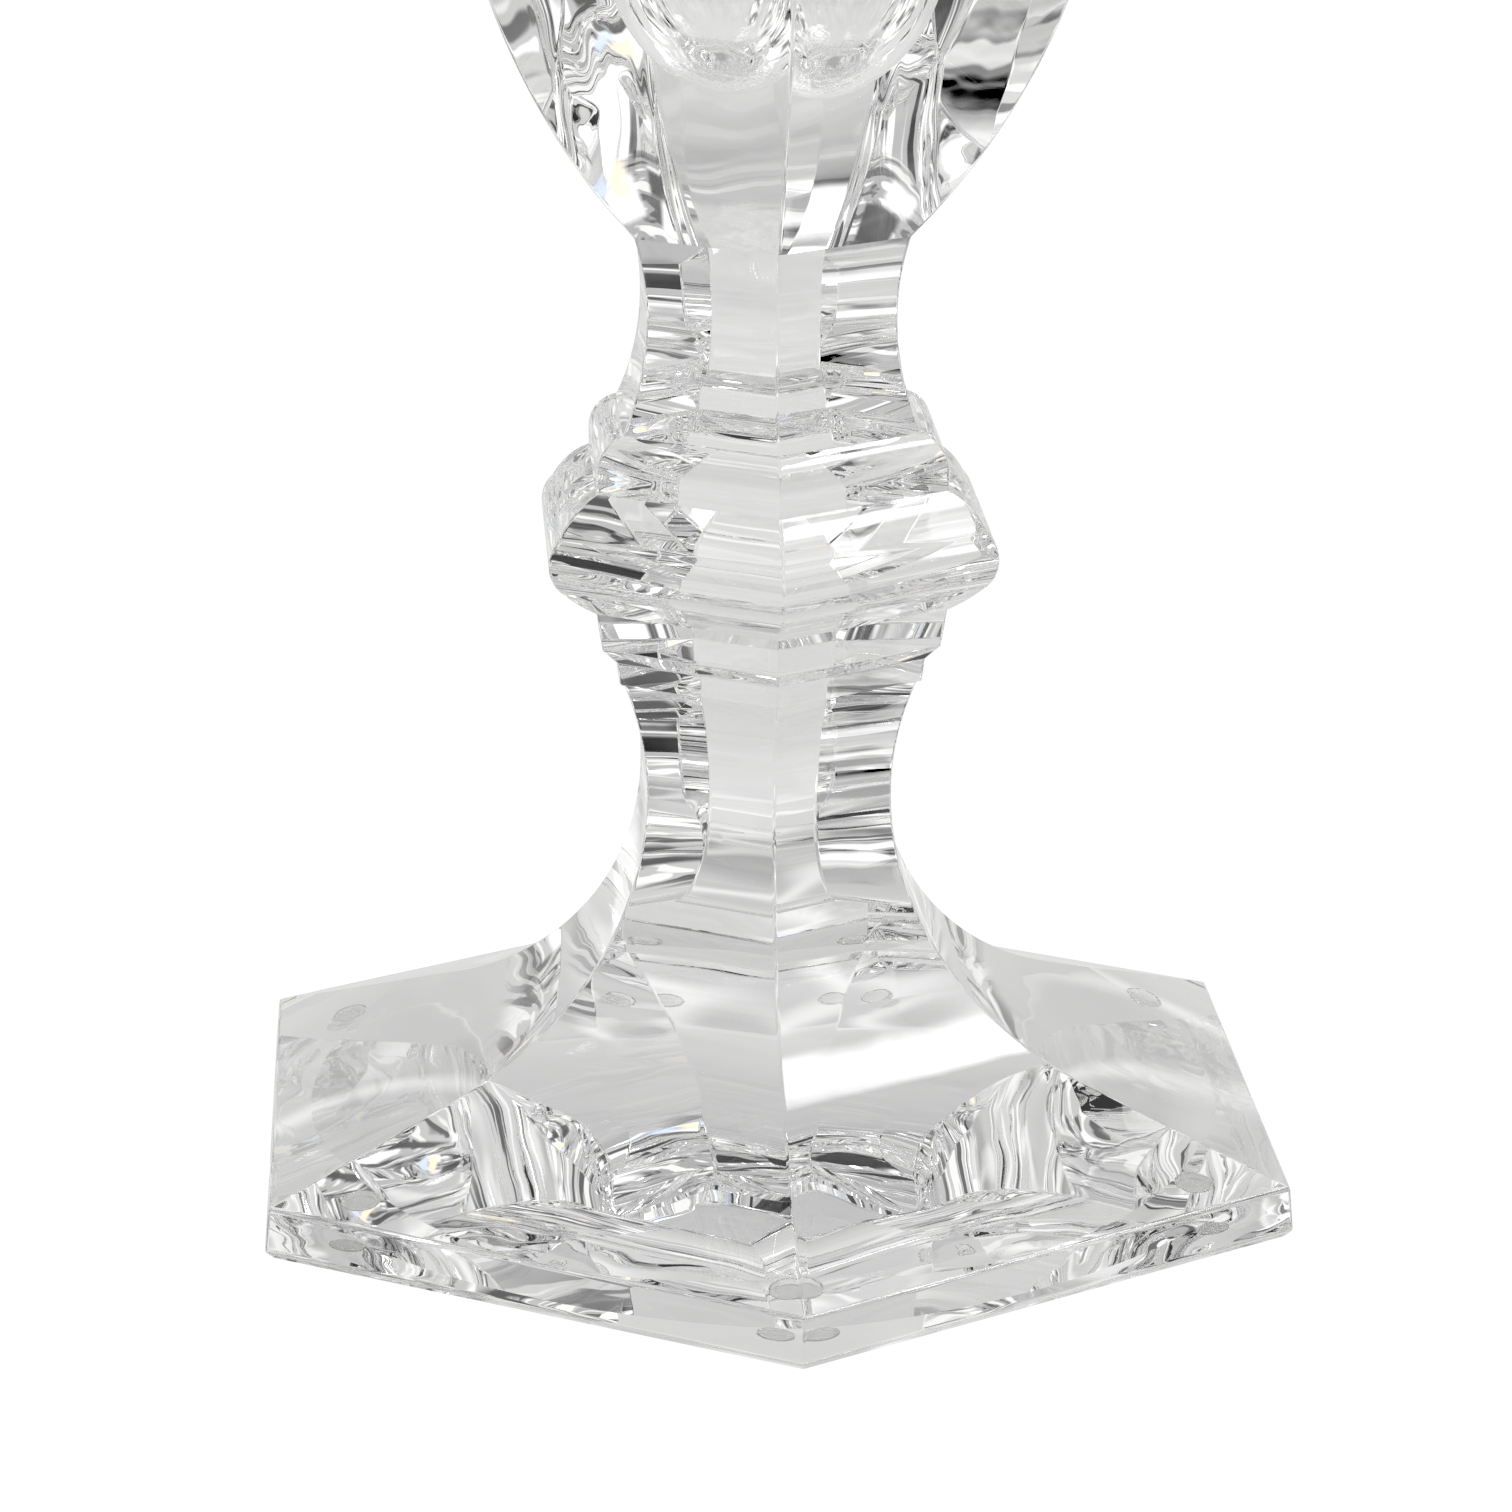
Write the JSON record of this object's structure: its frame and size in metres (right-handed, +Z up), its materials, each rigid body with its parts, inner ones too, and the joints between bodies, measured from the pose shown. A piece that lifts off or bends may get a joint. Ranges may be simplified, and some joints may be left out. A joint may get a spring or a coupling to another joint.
{
  "type": "candlestick",
  "caption": "Hexagonal cut-glass candlestick with a spreading foot, waisted stem, knop and tulip socket, which holds a taper candle upright.",
  "frame": {"origin": "middle of the footprint, on the plane that the rest pads stand on", "axes": "+Z up along the axis of the candle bore; two opposite corners of every hexagon lie on the Y axis, two flats face +X and -X"},
  "size_m": [0.104, 0.12, 0.15],
  "materials": {
    "crystal": "cut facets, polished clear",
    "clear_pad": "clear, soft gloss"
  },
  "bodies": {
    "root": {"foot": "crystal", "lower_stem": "crystal", "lower_collar": "crystal", "knop": "crystal", "upper_collar": "crystal", "upper_stem": "crystal", "socket_cup": "crystal", "rest_pads": "clear_pad"}
  },
  "joints": []
}
